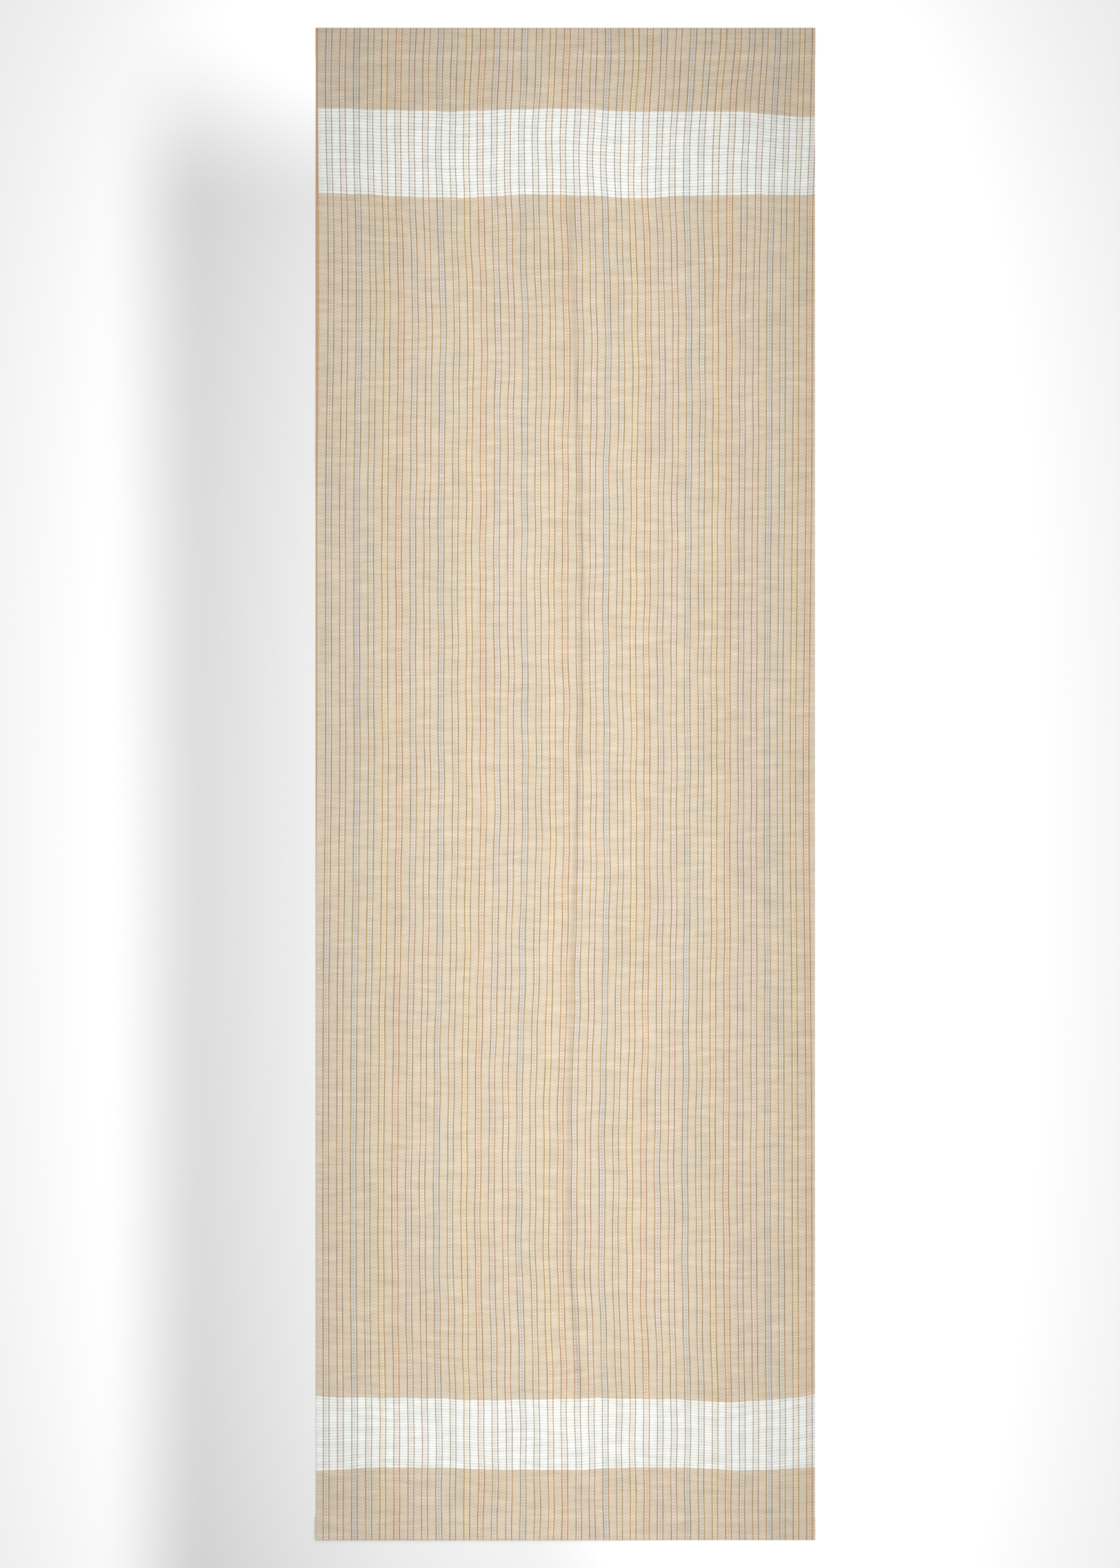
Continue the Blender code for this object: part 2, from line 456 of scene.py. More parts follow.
def rib_share(v, sizes):
    """0 in the gap between two ribs and 1 on a rib's crown, with round shoulders."""
    share = np.zeros_like(v)
    for end, side in SIDE.items():
        inner, outer = BAND_INNER[end], BAND_OUTER[end]
        ribs = sizes.head_ribs if end == "head" else sizes.foot_ribs
        along = (side * v - inner) / (outer - inner)
        within = (along > 0) & (along < 1)
        share = np.where(within, np.abs(np.sin(pi * ribs * along)) ** RIB_ROUNDNESS, share)
    return share


def zone_edge(v):
    """0 at each border between two weave zones and 1 a little way into a zone."""
    zones = (BAND_INNER, BAND_OUTER, HEM_START)
    borders = [side * zone[end] for end, side in SIDE.items() for zone in zones]
    nearest = np.min([np.abs(v - border) for border in borders], axis=0)
    return ease(nearest, 0, BORDER_EASE)


def ramp(v):
    """0 on the flat cloth and 1 where it has climbed onto the turned layers of a hem."""
    climb = np.zeros_like(v)
    for end, side in SIDE.items():
        top = HEM_START[end]
        climb = climb + ease(side * v, top - RAMP_LENGTH, top - 0.3 * MM)
    return climb


def faces_at(x, u, v, sizes):
    """Heights of the cloth's face and underside where warp end u and weft pick v cross at x.

    The underside follows the ripples and climbs over the hem's layers. The face lies a thickness
    above it, thinner at the selvedges and on the hem, with the relief of lines and ribs.
    """
    base = lift(x, v + bow(u, v), sizes) + (HEM_FACE - HEM_PLY / 2) * ramp(v)
    tucked = tuck(v) * (1 - ease(x - LEFT, STRIP_LEFT, TUCK_REACH))
    under = base + TUCK_RISE * tucked
    away = from_edge(x)
    thinner = EDGE_THINNING * (1 - ease(away, 3 * MM, 7.5 * MM)) * (1 - tucked)
    rib = rib_share(v, sizes)
    lines = line_relief(u, sizes) * ease(away, 1 * MM, 2.5 * MM)
    relief = (lines + sizes.rib_height * (rib - 0.5) * (rib > 0)) * zone_edge(v)
    thickness = THICKNESS * (1 - thinner) - (THICKNESS - HEM_PLY) * ramp(v)
    return base + thickness + relief * (1 - ramp(v)), under


# ---------------------------------------------------------------- rows and columns

def spaced(start, stop, gap):
    """Even steps from start to stop, no longer than gap."""
    steps = int(np.ceil(abs(stop - start) / gap - 1e-6))
    return np.linspace(start, stop, steps + 1)


def merged(*spans):
    """Several runs of values as one sorted run, with shared ends kept once."""
    values = np.sort(np.concatenate([np.asarray(span, float) for span in spans]))
    return values[np.append(True, np.diff(values) > CLOSEST)]


def long_rows(start, stop, joint):
    """Rows of a long cloth piece, close together at its fold."""
    fold = FOLD[joint]
    reach = MIDDLE_BEND if joint == "middle_fold" else END_BEND
    near, far = fold - 0.65 * reach, fold + 0.65 * reach
    return merged(
        spaced(start, near, FLAT_STEP), spaced(near, far, reach / 14), spaced(far, stop, FLAT_STEP)
    )


def band_rows(end, sizes):
    """Rows of a white band: four for each rib, one of them in the gap."""
    ribs = sizes.head_ribs if end == "head" else sizes.foot_ribs
    places = np.arange(ribs)[:, None] + np.array([0, 0.17, 0.5, 0.83])
    share = np.append(places.ravel(), ribs) / ribs
    rows = BAND_INNER[end] + share * (BAND_OUTER[end] - BAND_INNER[end])
    return np.sort(SIDE[end] * rows)


def end_rows(end):
    """Rows of the plain end cloth, close together where it climbs onto the hem."""
    climb = HEM_START[end] - RAMP_LENGTH - 1 * MM
    flat = spaced(BAND_OUTER[end], climb, END_STEP)
    return np.sort(SIDE[end] * merged(flat, spaced(climb, HEM_START[end], CLIMB_STEP)))


def cloth_columns(sizes):
    """Warp ends that the columns follow: eleven for each pair of lines."""
    beside = np.array([1.35, 2.05, 2.75, 3.45, 5.1])
    within = MM * np.concatenate((-beside[::-1], [0], beside))
    centres = sizes.first_pair + sizes.pair_pitch * np.arange(PAIRS)
    ends = (centres[:, None] + within).ravel()
    ends = ends[(ends > STRIP_LEFT + 0.5 * MM) & (ends < STRIP_RIGHT - 0.3 * MM)]
    return merged([STRIP_LEFT], ends, [STRIP_RIGHT])


def edge_steps(reach):
    """Shares of a strip from its inner side, 0, to its edge, 1, close together at the edge."""
    steps = np.append(spaced(0, 1, 1 / 14)[:-1], 1 - np.array([0.5, 0.25, 0.1, 0]) * MM / reach)
    return np.sort(steps)


def cloth_grid(rows, sizes):
    """x, u and v of the cloth between the strips, on the given rows."""
    u, v = np.meshgrid(cloth_columns(sizes), rows)
    return LEFT + u + lean(u, v), u, v


def right_grid(rows):
    """x, u and v of the right strip: from the last whole pair to the straight edge."""
    steps = edge_steps(WIDTH - STRIP_RIGHT)
    share, v = np.meshgrid(steps, rows)
    start = LEFT + STRIP_RIGHT + lean(STRIP_RIGHT, v)
    x = start + share * (RIGHT - start)
    return x, STRIP_RIGHT + x - start, v


def left_grid(rows):
    """x, u and v of the left strip where it lies flat, as on a hem."""
    steps = 1 - edge_steps(STRIP_LEFT)[::-1]
    share, v = np.meshgrid(steps, rows)
    stop = LEFT + STRIP_LEFT + lean(STRIP_LEFT, v)
    x = LEFT + share * (stop - LEFT)
    return x, STRIP_LEFT - (stop - x) / squeeze(stop - LEFT, v), v


def full_grid(rows, sizes):
    """x, u and v across the whole runner: left strip, cloth and right strip side by side."""
    left, cloth, right = left_grid(rows), cloth_grid(rows, sizes), right_grid(rows)
    return [np.hstack((a[:, :-1], b, c[:, 1:])) for a, b, c in zip(left, cloth, right, strict=True)]


def rounded_edge(away):
    """Share of the full thickness at a distance from an edge: a quarter circle, then all of it."""
    share = np.clip(away / EDGE_ROUNDING, 0, 1)
    return EDGE_THICKNESS + (1 - EDGE_THICKNESS) * np.sqrt(1 - (1 - share) ** 2)


# ---------------------------------------------------------------- meshes

def quads(rows, columns):
    """Corners of each face of a grid, counter-clockwise when rows run to +Y and columns to +X."""
    corner = (np.arange(rows - 1)[:, None] * columns + np.arange(columns - 1)).ravel()
    return np.stack((corner, corner + 1, corner + columns + 1, corner + columns), axis=1)


def ring_wall(upper, lower):
    """Faces that join two runs of corners, one above the other, facing their right-hand side."""
    return np.stack((lower[:-1], lower[1:], upper[1:], upper[:-1]), axis=1)


def mesh_from(name, points, faces, uv_maps):
    """A mesh from whole arrays: points, four-cornered faces, and UV values for each face corner."""
    mesh = bpy.data.meshes.new(name)
    mesh.vertices.add(len(points))
    mesh.vertices.foreach_set("co", points.astype(np.float32).ravel())
    mesh.loops.add(faces.size)
    mesh.loops.foreach_set("vertex_index", faces.astype(np.int32).ravel())
    mesh.polygons.add(len(faces))
    mesh.polygons.foreach_set("loop_start", np.arange(0, faces.size, 4, dtype=np.int32))
    mesh.update(calc_edges=True)
    mesh.shade_smooth()
    mesh.set_sharp_from_angle(angle=0.6)
    for uv_name, values in uv_maps.items():
        layer = mesh.uv_layers.new(name=uv_name)
        layer.uv.foreach_set("vector", values.astype(np.float32).ravel())
    if mesh.validate():
        raise RuntimeError(f"{name} has broken faces")
    return mesh


def slab(name, face, under, weave):
    """A closed sheet of cloth between two grids of points, with walls all round its border.

    The baking map puts the face in the upper two thirds, the underside below it, and each wall
    in a thin strip at the bottom.
    """
    rows, columns = face.shape[:2]
    count = rows * columns
    index = np.arange(count).reshape(rows, columns)
    south, north = index[0], index[-1, ::-1]
    east, west = index[:, -1], index[::-1, 0]
    borders = (south, east, north, west)
    face_quads = quads(rows, columns)
    under_quads = face_quads[:, ::-1] + count
    walls = [ring_wall(border, border + count) for border in borders]
    faces = np.concatenate((face_quads, under_quads, *walls))

    places = np.tile(weave.reshape(-1, 2), (2, 1))
    weave_map = places[faces]
    across, along = np.meshgrid(np.linspace(*BAKE_SIDES, columns), np.linspace(0, 1, rows))
    upper, lower = (
        np.stack((across, bottom + height * along), axis=-1).reshape(-1, 2)
        for bottom, height in (BAKE_FACE, BAKE_UNDER)
    )
    bake_parts = [upper[face_quads], lower[face_quads[:, ::-1]]]
    for place, wall in enumerate(walls):
        run = np.linspace(*BAKE_SIDES, len(wall) + 1)
        low = BAKE_WALL[0] + BAKE_WALL_STEP * place
        high = low + BAKE_WALL[1]
        corners = [(run[:-1], low), (run[1:], low), (run[1:], high), (run[:-1], high)]
        flat = [np.stack(np.broadcast_arrays(a, b), axis=-1) for a, b in corners]
        bake_parts.append(np.stack(flat, axis=1))
    points = np.concatenate((face.reshape(-1, 3), under.reshape(-1, 3)))
    mesh = mesh_from(name, points, faces, {"weave": weave_map, "OFBake": np.concatenate(bake_parts)})
    # How near each point lies to the old crease, kept for the materials to paint shade along it
    crease_shade = mesh.attributes.new("crease_shade", "FLOAT", "POINT")
    crease_shade.data.foreach_set("value", crease_share(points[:, 0], points[:, 1]).astype(np.float32))
    return mesh


def piece(name, mesh, material):
    """An object for a finished mesh, at the origin, with its material."""
    mesh.materials.append(material)
    thing = bpy.data.objects.new(name, mesh)
    bpy.context.scene.collection.objects.link(thing)
    return thing


def points_of(x, u, v, z):
    """Grid points from x and z, with y where the weft pick lies."""
    return np.stack((x, v + bow(u, v), z), axis=-1)


def flat_cloth(name, rows, sizes):
    """A piece of cloth between the strips, on the given rows."""
    x, u, v = cloth_grid(rows, sizes)
    face, under = (points_of(x, u, v, z) for z in faces_at(x, u, v, sizes))
    return slab(name, face, under, np.stack((u, v), axis=-1))


def right_selvedge(name, rows, sizes):
    """The right strip: flat cloth that thins to a round woven edge."""
    x, u, v = right_grid(rows)
    face, under = faces_at(x, u, v, sizes)
    middle, half = (face + under) / 2, (face - under) / 2 * rounded_edge(RIGHT - x)
    face, under = (points_of(x, u, v, z) for z in (middle + half, middle - half))
    return slab(name, face, under, np.stack((u, v), axis=-1))


def left_selvedge(name, rows, sizes):
    """The left strip: a ribbon that lies flat at the head and turns under towards the foot.

    The ribbon runs from its inner side to the left. Where the cloth has slipped past the edge it
    makes a small half turn and comes back underneath.
    """
    fine = spaced(1.0 * MM, STRIP_LEFT - CLIMB_STEP, 0.16 * MM)
    run = merged(STRIP_LEFT * edge_steps(STRIP_LEFT), fine)[::-1]
    out, v = np.meshgrid(run, rows)
    u = STRIP_LEFT - out
    start = LEFT + STRIP_LEFT + lean(STRIP_LEFT, v)
    face, under = faces_at(start, STRIP_LEFT + 0 * v, v, sizes)
    middle, half = (face + under) / 2, (face - under) / 2
    room = start - LEFT - (TUCK_RADIUS + half) * rolled(v)
    reach = out * squeeze(start - LEFT, v)
    turn = np.clip((reach - room) / TUCK_RADIUS, 0, pi)
    back = np.maximum(reach - room - pi * TUCK_RADIUS, 0)
    x = start - np.minimum(reach, room) - TUCK_RADIUS * np.sin(turn) + back
    centre = points_of(x, u, v, middle - TUCK_RADIUS * (1 - np.cos(turn)))
    normal = np.stack((-np.sin(turn), np.zeros_like(x), np.cos(turn)), axis=-1)
    offset = normal * (half * rounded_edge(STRIP_LEFT - out))[..., None]
    return slab(name, centre + offset, centre - offset, np.stack((u, v), axis=-1))


def hem_path(end):
    """The cloth's way through a double-turned hem, seen from the side.

    Outwards on top, half a turn down at the tip, back underneath, half a turn up at the hem's
    start, and outwards again between the two. Gives distance from the runner's middle, height,
    the angle of the face from straight up, and length along the cloth.
    """
    start = HEM_START[end]
    tip = TIP - BIG_TURN - HEM_PLY / 2
    inner = start + SMALL_TURN + HEM_PLY / 2 + 0.1 * MM
    stitch = start + STITCH_FROM_HEM
    near_stitch = spaced(stitch - 1.2 * MM, stitch + 1.2 * MM, 0.3 * MM)
    top = merged(spaced(start, tip, 2.5 * MM), near_stitch)
    below = merged(spaced(inner, tip, 2.5 * MM), near_stitch)[::-1]
    between = spaced(inner, tip - 0.6 * MM, END_STEP)
    outer_turn = np.linspace(0, pi, 13)[1:-1]
    inner_turn = np.linspace(0, pi, 9)[1:-1]
    # Each stretch: distance, height and angle, where one number holds for the whole stretch
    stretches = (
        (top, HEM_FACE, 0),
        (
            tip + BIG_TURN * np.sin(outer_turn),
            HEM_UNDER + BIG_TURN * (1 + np.cos(outer_turn)),
            outer_turn,
        ),
        (below, HEM_UNDER, pi),
        (
            inner - SMALL_TURN * np.sin(inner_turn),
            HEM_UNDER + SMALL_TURN * (1 - np.cos(inner_turn)),
            pi + inner_turn,
        ),
        (between, HEM_MIDDLE, 2 * pi),
    )
    whole = [np.stack(np.broadcast_arrays(*stretch)) for stretch in stretches]
    along, height, angle = np.hstack(whole)
    steps = np.hypot(np.diff(along), np.diff(height))
    return along, height, angle, start + np.append(0, np.cumsum(steps))


def hem_mesh(name, end, sizes):
    """A double-turned hem: the cloth carried along the hem's path, pinched in by its stitches."""
    side = SIDE[end]
    along, height, angle, length = (column[:, None] for column in hem_path(end))
    x, u, v = full_grid(side * along[:, 0], sizes)
    height, angle, length = (np.broadcast_to(column, x.shape) for column in (height, angle, length))
    half = HEM_PLY / 2 * rounded_edge(from_edge(x))
    outside = (angle < 0.1) | (np.abs(angle - pi) < 0.1)
    wave = 0.8 + 0.2 * np.cos(2 * pi * (x - LEFT) / sizes.stitch)
    pinch = bell(np.abs(v), HEM_START[end] + STITCH_FROM_HEM, 0.55 * MM) * wave
    inside = ease(np.abs(v), HEM_START[end], HEM_START[end] + BORDER_EASE)
    relief = (0.6 * line_relief(u, sizes) * inside - STITCH_PINCH * pinch) * outside
    normal = np.stack((np.zeros_like(x), side * np.sin(angle), np.cos(angle)), axis=-1)
    centre = np.stack((x, v, height), axis=-1)
    face = centre + normal * (half + relief)[..., None]
    under = centre - normal * half[..., None]
    weave = np.stack((u, side * length), axis=-1)
    if side < 0:
        face, under, weave = face[::-1], under[::-1], weave[::-1]
    return slab(name, face, under, weave)


def thread_mesh(name, end, below, sizes):
    """A lockstitch thread: a tube along the hem that dives into the cloth between stitches."""
    radius = sizes.thread / 2
    count = int(round((WIDTH - 2 * STITCH_MARGIN) / sizes.stitch))
    stitch = (WIDTH - 2 * STITCH_MARGIN) / count
    within = np.array([0, 0.07, 0.15, 0.3, 0.5, 0.7, 0.85, 0.93])
    share = np.append((np.arange(count)[:, None] + within).ravel(), count)
    x = LEFT + STITCH_MARGIN + stitch * share
    from_hole = stitch * np.abs(share - np.round(share))
    dive = STITCH_DIVE * (1 - ease(from_hole, 0, 0.5 * MM))
    z = radius + dive if below else HEM_FACE + HEM_PLY / 2 - 0.02 * MM - dive
    wander = 0.05 * MM * np.sin(2 * pi * share * 0.37) + 0.1 * MM * (from_hole / stitch - 0.25)
    y = SIDE[end] * (HEM_START[end] + STITCH_FROM_HEM) + wander

    around = 2 * pi * np.arange(THREAD_SIDES) / THREAD_SIDES
    ring_y, ring_z = radius * np.cos(around), radius * np.sin(around)
    rings = np.broadcast_arrays(x[:, None], y[:, None] + ring_y, z[:, None] + ring_z)
    points = np.stack(rings, axis=-1).reshape(-1, 3)
    ring = THREAD_SIDES * np.arange(len(x) - 1)[:, None]
    this_side, next_side = np.arange(THREAD_SIDES), (np.arange(THREAD_SIDES) + 1) % THREAD_SIDES
    first, second = (ring + this_side).ravel(), (ring + next_side).ravel()
    sides = np.stack((first, second, second + THREAD_SIDES, first + THREAD_SIDES), axis=1)
    cap = np.array([[0, 1, 2, 3], [0, 3, 4, 5]])
    faces = np.concatenate((sides, cap[:, ::-1], cap + len(points) - THREAD_SIDES))

    along, turn = np.meshgrid(x - LEFT, np.linspace(0, 1, THREAD_SIDES + 1), indexing="ij")
    corners = quads(len(x), THREAD_SIDES + 1)
    weave = np.stack((along, turn * 2 * pi * radius), axis=-1).reshape(-1, 2)
    bake = np.stack((0.01 + 0.98 * along / WIDTH, 0.1 + 0.8 * turn), axis=-1).reshape(-1, 2)
    cap_places = np.tile(0.02 + 0.01 * np.array([[0, 0], [1, 0], [1, 1], [0, 1]]), (4, 1, 1))
    maps = {
        "weave": np.concatenate((weave[corners], np.zeros((4, 4, 2)))),
        "OFBake": np.concatenate((bake[corners], cap_places)),
    }
    return mesh_from(name, points, faces, maps)


# ---------------------------------------------------------------- shader node groups

class Sketch:
    """Draws a shader node tree from formulas: numbers and sockets go in, sockets come out."""

    def __init__(self, tree):
        self.tree = tree

    def node(self, kind, inputs=(), **settings):
        """One node, with its settings, and a number, colour or socket for each named input."""
        made = self.tree.nodes.new(f"ShaderNode{kind}")
        for setting, value in settings.items():
            setattr(made, setting, value)
        for socket, value in dict(inputs).items():
            self.feed(made.inputs[socket], value)
        return made

    def feed(self, socket, value):
        """Links a socket to another, or sets its own value."""
        if isinstance(value, bpy.types.NodeSocket):
            self.tree.links.new(value, socket)
        else:
            socket.default_value = value

    def math(self, operation, *values):
        """One arithmetic step."""
        made = self.tree.nodes.new("ShaderNodeMath")
        made.operation = operation
        for socket, value in zip(made.inputs, values):
            self.feed(socket, value)
        return made.outputs[0]

    def minus(self, first, second):
        """One value less another."""
        return self.math("SUBTRACT", first, second)

    def over(self, first, second):
        """One value divided by another."""
        return self.math("DIVIDE", first, second)

    def size(self, value):
        """A value without its sign."""
        return self.math("ABSOLUTE", value)

    def below(self, value, limit):
        """1 where a value is less than a limit, and 0 elsewhere."""
        return self.math("LESS_THAN", value, limit)

    def fraction(self, value):
        """What is left of a value above the whole number below it."""
        return self.math("FRACT", value)

    def wave(self, turns):
        """The sine of a number of whole turns."""
        return self.math("SINE", self.times(turns, 2 * pi))

    def add(self, *values):
        """The sum of several values."""
        total = values[0]
        for value in values[1:]:
            total = self.math("ADD", total, value)
        return total

    def times(self, *values):
        """The product of several values."""
        product = values[0]
        for value in values[1:]:
            product = self.math("MULTIPLY", product, value)
        return product

    def smooth(self, value, low, high):
        """0 at low and 1 at high, along a smooth S. High may be below low."""
        limits = {"Value": value, "From Min": low, "From Max": high}
        return self.node("MapRange", limits, interpolation_type="SMOOTHSTEP").outputs["Result"]

    def mix(self, share, first, second, blend="MIX"):
        """Two colours, mixed by a share."""
        made = self.node("Mix", data_type="RGBA", blend_type=blend)
        self.feed(made.inputs[0], share)
        self.feed(made.inputs[6], first)
        self.feed(made.inputs[7], second)
        return made.outputs[2]

    def tone(self, colour, shade):
        """A colour made lighter or darker by a shade, which is 1 where it stays."""
        grey = self.node("CombineColor", {"Red": shade, "Green": shade, "Blue": shade})
        return self.mix(1.0, colour, grey.outputs[0], "MULTIPLY")

    def noise(self, u, v, per_u, per_v, detail=1.0):
        """Noise over the cloth, from 0 to 1, with so many lumps to a metre across and along."""
        place = {"X": self.times(u, per_u), "Y": self.times(v, per_v)}
        vector = self.node("CombineXYZ", place).outputs[0]
        return self.node("TexNoise", {"Vector": vector, "Scale": 1.0, "Detail": detail}).outputs[0]

    def place(self, group, **values):
        """A node group with values for its named inputs."""
        made = self.tree.nodes.new("ShaderNodeGroup")
        made.node_tree = group
        for socket, value in values.items():
            self.feed(made.inputs[socket.replace("_", " ")], value)
        return made.outputs


def node_group(name, inputs, outputs):
    """A new shader node group with number inputs and named outputs, and its two end nodes."""
    tree = bpy.data.node_groups.new(name, "ShaderNodeTree")
    for socket in inputs:
        tree.interface.new_socket(socket, in_out="INPUT", socket_type="NodeSocketFloat")
    for socket, kind in outputs.items():
        tree.interface.new_socket(socket, in_out="OUTPUT", socket_type=f"NodeSocket{kind}")
    start = tree.nodes.new("NodeGroupInput")
    end = tree.nodes.new("NodeGroupOutput")
    return Sketch(tree), start.outputs, end.inputs


def opaque(colour):
    """A colour property as four channels."""
    return (*colour, 1.0)


def warp_stripes_group(colours):
    """Pairs of tan lines, with a tinted core and two rows of slanted flecks inside each pair.

    A warp end's distance from the nearest pair's centre decides whether it belongs to a line, the
    core or the flecks. The pair's number picks one of six tints, which repeat across the cloth.
    """
    inputs = ("U", "V", "First Pair", "Pair Pitch", "Line Spacing", "Line Width", "Fleck Pitch")
    outputs = {"Line": "Float", "Core": "Float", "Strip": "Float", "Fleck": "Float", "Tint": "Color"}
    art, given, result = node_group("Warp Stripes", inputs, outputs)
    pitch, width = given["Pair Pitch"], given["Line Width"]
    place = art.add(art.over(art.minus(given["U"], given["First Pair"]), pitch), 0.5)
    number = art.math("FLOOR", place)
    offset = art.times(art.add(art.minus(place, number), -0.5), pitch)
    away = art.size(offset)
    real = art.times(art.math("GREATER_THAN", number, -0.5), art.below(number, PAIRS - 0.5))

    from_line = art.size(art.minus(away, art.times(given["Line Spacing"], 0.5)))
    column = art.smooth(art.size(art.add(away, -FLECK_COLUMN)), 0.62 * MM, 0.28 * MM)
    slant = art.minus(given["V"], art.times(offset, FLECK_SLANT))
    fleck = art.smooth(art.wave(art.over(slant, given["Fleck Pitch"])), -0.1, 0.6)
    masks = {
        "Line": art.smooth(from_line, art.times(width, 0.66), art.times(width, 0.34)),
        "Core": art.smooth(away, 1.1 * MM, 0.45 * MM),
        "Strip": art.smooth(away, 2.5 * MM, 2.0 * MM),
        "Fleck": art.times(column, fleck),
    }
    for name, mask in masks.items():
        art.feed(result[name], art.times(mask, real))

    turn = art.fraction(art.times(art.add(number, 0.5), 1 / TINTS))
    picker = art.node("ValToRGB", {"Fac": turn})
    picker.color_ramp.interpolation = "CONSTANT"
    stops = picker.color_ramp.elements
    for tint in range(TINTS):
        stop = stops[tint] if tint < len(stops) else stops.new(tint / TINTS)
        stop.position = tint / TINTS
        stop.color = opaque(getattr(colours, f"tint_{tint + 1}"))
    art.feed(result["Tint"], picker.outputs["Color"])
    return art.tree


def twill_weave_group():
    """A two-over-two twill with its diagonal rising to the right.

    Warp ends and weft picks are numbered. Along an end, the warp floats over two picks and then
    dives under two, and each end starts one pick above its left neighbour. Over is 1 on a warp
    float. Height is the back of whichever float is on top, round across and tapered at its ends.
    """
    inputs = ("U", "V", "Warp Spacing", "Weft Spacing")
    art, given, result = node_group("Twill Weave", inputs, {"Over": "Float", "Height": "Float"})
    u, v = given["U"], given["V"]
    stray = art.add(art.noise(u, v, 260, 260), -0.5)
    across = art.over(art.add(u, art.times(stray, 0.30 * MM)), given["Warp Spacing"])
    along = art.over(art.add(v, art.times(stray, 0.50 * MM)), given["Weft Spacing"])
    warp_run = art.minus(art.add(art.math("FLOOR", across), 1.0), along)
    weft_run = art.minus(across, art.add(art.math("FLOOR", along), 2.0))

    def back(run, width):
        """Height of a float: its run is a half turn along it, and so is its width across it."""
        ends = art.wave(art.fraction(art.times(run, 0.25)))
        side = art.math("SINE", art.times(art.fraction(width), pi))
        return art.times(art.math("POWER", art.math("MAXIMUM", ends, 0.0), 0.4), side)

    art.feed(result["Over"], art.below(art.fraction(art.times(warp_run, 0.25)), 0.5))
    art.feed(result["Height"], art.add(back(warp_run, across), back(weft_run, along)))
    return art.tree


def white_ribs_group():
    """Thick white weft ribs in the two bands.

    The distance from the runner's middle, as a share of the band, is multiplied by the number of
    ribs; the sine of that many half turns is 0 in each gap and 1 on each crown. Twist is a slanted
    wave along a rib, one turn for every four warp ends, that moves on by half a turn at each rib.
    Ply is the finer slanted wave of the rib's own twisted yarns.
    """
    sizes = ("Inner", "Outer", "Ribs")
    inputs = ("U", "V", *(f"{end} {size}" for end in ("Head", "Foot") for size in sizes))
    outputs = ("Band", "Gap", "Twist", "Crown", "Ply")
    art, given, result = node_group("White Ribs", inputs, dict.fromkeys(outputs, "Float"))
    u, v = given["U"], given["V"]
    at_foot = art.below(v, 0.0)
    at_head = art.minus(1.0, at_foot)

    def at_this_end(size):
        """The size that belongs to the end of the runner that is being shaded."""
        return art.add(*(
            art.times(given[f"{end} {size}"], here)
            for end, here in (("Head", at_head), ("Foot", at_foot))
        ))

    inner = at_this_end("Inner")
    stray = art.add(art.noise(u, v, 90, 400), -0.5)
    share = art.over(art.minus(art.size(v), inner), art.minus(at_this_end("Outer"), inner))
    strayed = art.add(art.times(share, at_this_end("Ribs")), art.times(stray, 0.25))
    crown = art.size(art.math("SINE", art.times(strayed, pi)))
    turns = art.minus(art.times(u, 1 / RIB_TWIST), art.times(strayed, 0.5))
    plies = art.add(art.times(u, 1 / PLY_TWIST), art.times(strayed, -1.6), art.times(stray, 0.8))
    within = art.times(art.math("GREATER_THAN", share, 0.0), art.below(share, 1.0))
    art.feed(result["Band"], within)
    art.feed(result["Gap"], art.smooth(crown, 0.50, 0.14))
    art.feed(result["Twist"], art.smooth(art.wave(turns), -0.7, 0.7))
    art.feed(result["Crown"], crown)
    art.feed(result["Ply"], art.wave(plies))
    return art.tree


def yarn_life_group():
    """What makes yarn look spun and cloth look used.

    Tone is near 1: it drifts along single warp and weft yarns, from fibre to fibre, in broad
    patches and in streaks of a few picks. Slub marks short thick places in the weft. Fibre is a
    fine roughness.
    """
    outputs = {"Tone": "Float", "Slub": "Float", "Fibre": "Float"}
    art, given, result = node_group("Yarn Life", ("U", "V"), outputs)
    u, v = given["U"], given["V"]
    fibre = art.noise(u, v, 2600, 2200, detail=2.0)
    drifts = (
        (art.noise(u, v, 1400, 18), 0.14),
        (art.noise(u, v, 14, 900), 0.14),
        (fibre, 0.16),
        (art.noise(u, v, 11, 7, detail=2.0), 0.12),
        (art.noise(u, v, 32, 210, detail=2.0), 0.36),
    )
    shares = [art.times(art.add(noise, -0.5), weight) for noise, weight in drifts]
    art.feed(result["Tone"], art.add(1.0, *shares))
    art.feed(result["Slub"], art.smooth(art.noise(u, v, 95, 780), 0.69, 0.77))
    art.feed(result["Fibre"], fibre)
    return art.tree


# ---------------------------------------------------------------- materials

def blank_material(name):
    """A material with only its shader and output, and a sketch to draw in."""
    finish = bpy.data.materials.new(name)
    finish.use_nodes = True
    shader = finish.node_tree.nodes["Principled BSDF"]
    shader.inputs["Metallic"].default_value = 0.0
    shader.inputs["Specular IOR Level"].default_value = 0.25
    return finish, shader, Sketch(finish.node_tree)


def weave_place(art):
    """The warp and weft coordinates of the point that is being shaded."""
    place = art.node("UVMap", uv_map="weave").outputs["UV"]
    split = art.node("SeparateXYZ", {"Vector": place})
    return split.outputs["X"], split.outputs["Y"]


